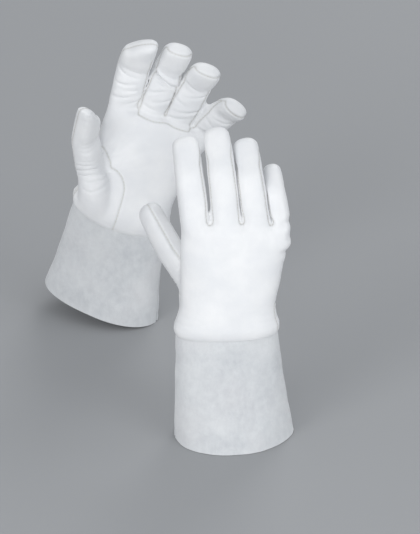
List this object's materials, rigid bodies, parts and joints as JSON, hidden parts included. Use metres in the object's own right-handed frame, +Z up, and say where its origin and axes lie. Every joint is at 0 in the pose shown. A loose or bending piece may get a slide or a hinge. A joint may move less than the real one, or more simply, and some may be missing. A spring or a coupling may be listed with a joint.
{
  "type": "welding gloves",
  "caption": "Pair of gauntlet welding gloves: grain leather hands with fourchette fingers and wing thumbs, long split leather cuffs, standing on the cuff hems.",
  "frame": {"origin": "on the floor, under the middle of the pair's box", "axes": "+Z up along the standing gloves, +X from the thumbs to the little fingers, +Y from the front glove to the rear glove"},
  "size_m": [0.2457, 0.3265, 0.3053],
  "materials": {
    "grain_leather": "smooth near-white grain leather, soft satin",
    "split_leather": "pale grey napped split leather, matt",
    "thread": "pale aramid sewing thread"
  },
  "bodies": {
    "right_cuff": {"right_cuff_back": "split_leather", "right_cuff_palm": "split_leather", "right_cuff_thread": "thread"},
    "right_hand": {"right_back_panel": "grain_leather", "right_palm_panel": "grain_leather", "right_thumb_gusset": "grain_leather", "right_finger_crotches": "grain_leather", "right_hand_thread": "thread"},
    "right_thumb": {"right_thumb_base": "grain_leather"},
    "right_thumb_end": {"right_thumb_tip": "grain_leather"},
    "right_index": {"right_index_back": "grain_leather", "right_index_front": "grain_leather", "right_index_sides": "grain_leather"},
    "right_index_end": {"right_index_tip_back": "grain_leather", "right_index_tip_front": "grain_leather"},
    "right_middle": {"right_middle_back": "grain_leather", "right_middle_front": "grain_leather", "right_middle_sides": "grain_leather"},
    "right_middle_end": {"right_middle_tip_back": "grain_leather", "right_middle_tip_front": "grain_leather"},
    "right_ring": {"right_ring_back": "grain_leather", "right_ring_front": "grain_leather", "right_ring_sides": "grain_leather"},
    "right_ring_end": {"right_ring_tip_back": "grain_leather", "right_ring_tip_front": "grain_leather"},
    "right_little": {"right_little_back": "grain_leather", "right_little_front": "grain_leather", "right_little_sides": "grain_leather"},
    "right_little_end": {"right_little_tip_back": "grain_leather", "right_little_tip_front": "grain_leather"},
    "left_cuff": {"left_cuff_back": "split_leather", "left_cuff_palm": "split_leather", "left_cuff_thread": "thread"},
    "left_hand": {"left_back_panel": "grain_leather", "left_palm_panel": "grain_leather", "left_thumb_gusset": "grain_leather", "left_finger_crotches": "grain_leather", "left_hand_thread": "thread"},
    "left_thumb": {"left_thumb_base": "grain_leather"},
    "left_thumb_end": {"left_thumb_tip": "grain_leather"},
    "left_index": {"left_index_back": "grain_leather", "left_index_front": "grain_leather", "left_index_sides": "grain_leather"},
    "left_index_end": {"left_index_tip_back": "grain_leather", "left_index_tip_front": "grain_leather"},
    "left_middle": {"left_middle_back": "grain_leather", "left_middle_front": "grain_leather", "left_middle_sides": "grain_leather"},
    "left_middle_end": {"left_middle_tip_back": "grain_leather", "left_middle_tip_front": "grain_leather"},
    "left_ring": {"left_ring_back": "grain_leather", "left_ring_front": "grain_leather", "left_ring_sides": "grain_leather"},
    "left_ring_end": {"left_ring_tip_back": "grain_leather", "left_ring_tip_front": "grain_leather"},
    "left_little": {"left_little_back": "grain_leather", "left_little_front": "grain_leather", "left_little_sides": "grain_leather"},
    "left_little_end": {"left_little_tip_back": "grain_leather", "left_little_tip_front": "grain_leather"}
  },
  "joints": [
    {"name": "right_wrist_bend", "type": "hinge", "parent": "right_cuff", "child": "right_hand", "pos_m": [0.0587, -0.1187, 0.115], "axis": [-0.9994, 0, -0.0349], "range_deg": [-20, 20]},
    {"name": "right_thumb_bend", "type": "hinge", "parent": "right_hand", "child": "right_thumb", "pos_m": [0.02464, -0.09069, 0.15926], "axis": [-0.4405, 0.4735, -0.7627], "range_deg": [-12, 35]},
    {"name": "right_thumb_tip_bend", "type": "hinge", "parent": "right_thumb", "child": "right_thumb_end", "pos_m": [0.00547, -0.07427, 0.18053], "axis": [-0.4405, 0.4735, -0.7627], "range_deg": [-8, 52]},
    {"name": "right_index_bend", "type": "hinge", "parent": "right_hand", "child": "right_index", "pos_m": [0.02686, -0.09618, 0.21863], "axis": [-0.9833, -0.0257, -0.18], "range_deg": [-20, 48]},
    {"name": "right_index_tip_bend", "type": "hinge", "parent": "right_index", "child": "right_index_end", "pos_m": [0.01901, -0.07959, 0.25919], "axis": [-0.9833, -0.0257, -0.18], "range_deg": [-24, 61]},
    {"name": "right_middle_bend", "type": "hinge", "parent": "right_hand", "child": "right_middle", "pos_m": [0.05685, -0.09618, 0.21968], "axis": [-0.9849, -0.0242, -0.1715], "range_deg": [-20, 48]},
    {"name": "right_middle_tip_bend", "type": "hinge", "parent": "right_middle", "child": "right_middle_end", "pos_m": [0.04865, -0.07799, 0.26417], "axis": [-0.9849, -0.0242, -0.1715], "range_deg": [-25, 60]},
    {"name": "right_ring_bend", "type": "hinge", "parent": "right_hand", "child": "right_ring", "pos_m": [0.08548, -0.09644, 0.2192], "axis": [-0.9782, -0.0302, -0.2053], "range_deg": [-23, 45]},
    {"name": "right_ring_tip_bend", "type": "hinge", "parent": "right_ring", "child": "right_ring_end", "pos_m": [0.07674, -0.07796, 0.25815], "axis": [-0.9782, -0.0302, -0.2053], "range_deg": [-28, 57]},
    {"name": "right_little_bend", "type": "hinge", "parent": "right_hand", "child": "right_little", "pos_m": [0.10972, -0.09722, 0.21561], "axis": [-0.9745, -0.0331, -0.2221], "range_deg": [-30, 38]},
    {"name": "right_little_tip_bend", "type": "hinge", "parent": "right_little", "child": "right_little_end", "pos_m": [0.10263, -0.07907, 0.24402], "axis": [-0.9745, -0.0331, -0.2221], "range_deg": [-32, 53]},
    {"name": "left_wrist_bend", "type": "hinge", "parent": "left_cuff", "child": "left_hand", "pos_m": [-0.0483, 0.0993, 0.117], "axis": [0.9563, 0, -0.2924], "range_deg": [-20, 20]},
    {"name": "left_thumb_bend", "type": "hinge", "parent": "left_hand", "child": "left_thumb", "pos_m": [-0.07393, 0.09718, 0.17683], "axis": [0.6161, 0.7589, 0.2108], "range_deg": [-12, 35]},
    {"name": "left_thumb_tip_bend", "type": "hinge", "parent": "left_thumb", "child": "left_thumb_end", "pos_m": [-0.07972, 0.09293, 0.20904], "axis": [0.6161, 0.7589, 0.2108], "range_deg": [-18, 42]},
    {"name": "left_index_bend", "type": "hinge", "parent": "left_hand", "child": "left_index", "pos_m": [-0.04432, 0.13214, 0.22236], "axis": [0.9653, 0.0119, -0.2608], "range_deg": [-23, 45]},
    {"name": "left_index_tip_bend", "type": "hinge", "parent": "left_index", "child": "left_index_end", "pos_m": [-0.0328, 0.13601, 0.26518], "axis": [0.9653, 0.0119, -0.2608], "range_deg": [-32, 53]},
    {"name": "left_middle_bend", "type": "hinge", "parent": "left_hand", "child": "left_middle", "pos_m": [-0.01755, 0.13214, 0.21417], "axis": [0.9488, -0.009, -0.3158], "range_deg": [-20, 48]},
    {"name": "left_middle_tip_bend", "type": "hinge", "parent": "left_middle", "child": "left_middle_end", "pos_m": [-0.00224, 0.13892, 0.25997], "axis": [0.9488, -0.009, -0.3158], "range_deg": [-28, 57]},
    {"name": "left_ring_bend", "type": "hinge", "parent": "left_hand", "child": "left_ring", "pos_m": [0.00786, 0.13162, 0.20493], "axis": [0.9223, -0.0358, -0.3847], "range_deg": [-22, 46]},
    {"name": "left_ring_tip_bend", "type": "hinge", "parent": "left_ring", "child": "left_ring_end", "pos_m": [0.02485, 0.13614, 0.24525], "axis": [0.9223, -0.0358, -0.3847], "range_deg": [-30, 55]},
    {"name": "left_little_bend", "type": "hinge", "parent": "left_hand", "child": "left_little", "pos_m": [0.03292, 0.13009, 0.19284], "axis": [0.7838, -0.1281, -0.6077], "range_deg": [-32, 36]},
    {"name": "left_little_tip_bend", "type": "hinge", "parent": "left_little", "child": "left_little_end", "pos_m": [0.05362, 0.1269, 0.2202], "axis": [0.7838, -0.1281, -0.6077], "range_deg": [-38, 47]},
    {"name": "left_glove_lift", "type": "slide", "parent": "right_cuff", "child": "left_cuff", "axis": [0, 0, 1], "range_m": [0, 0.3]}
  ]
}
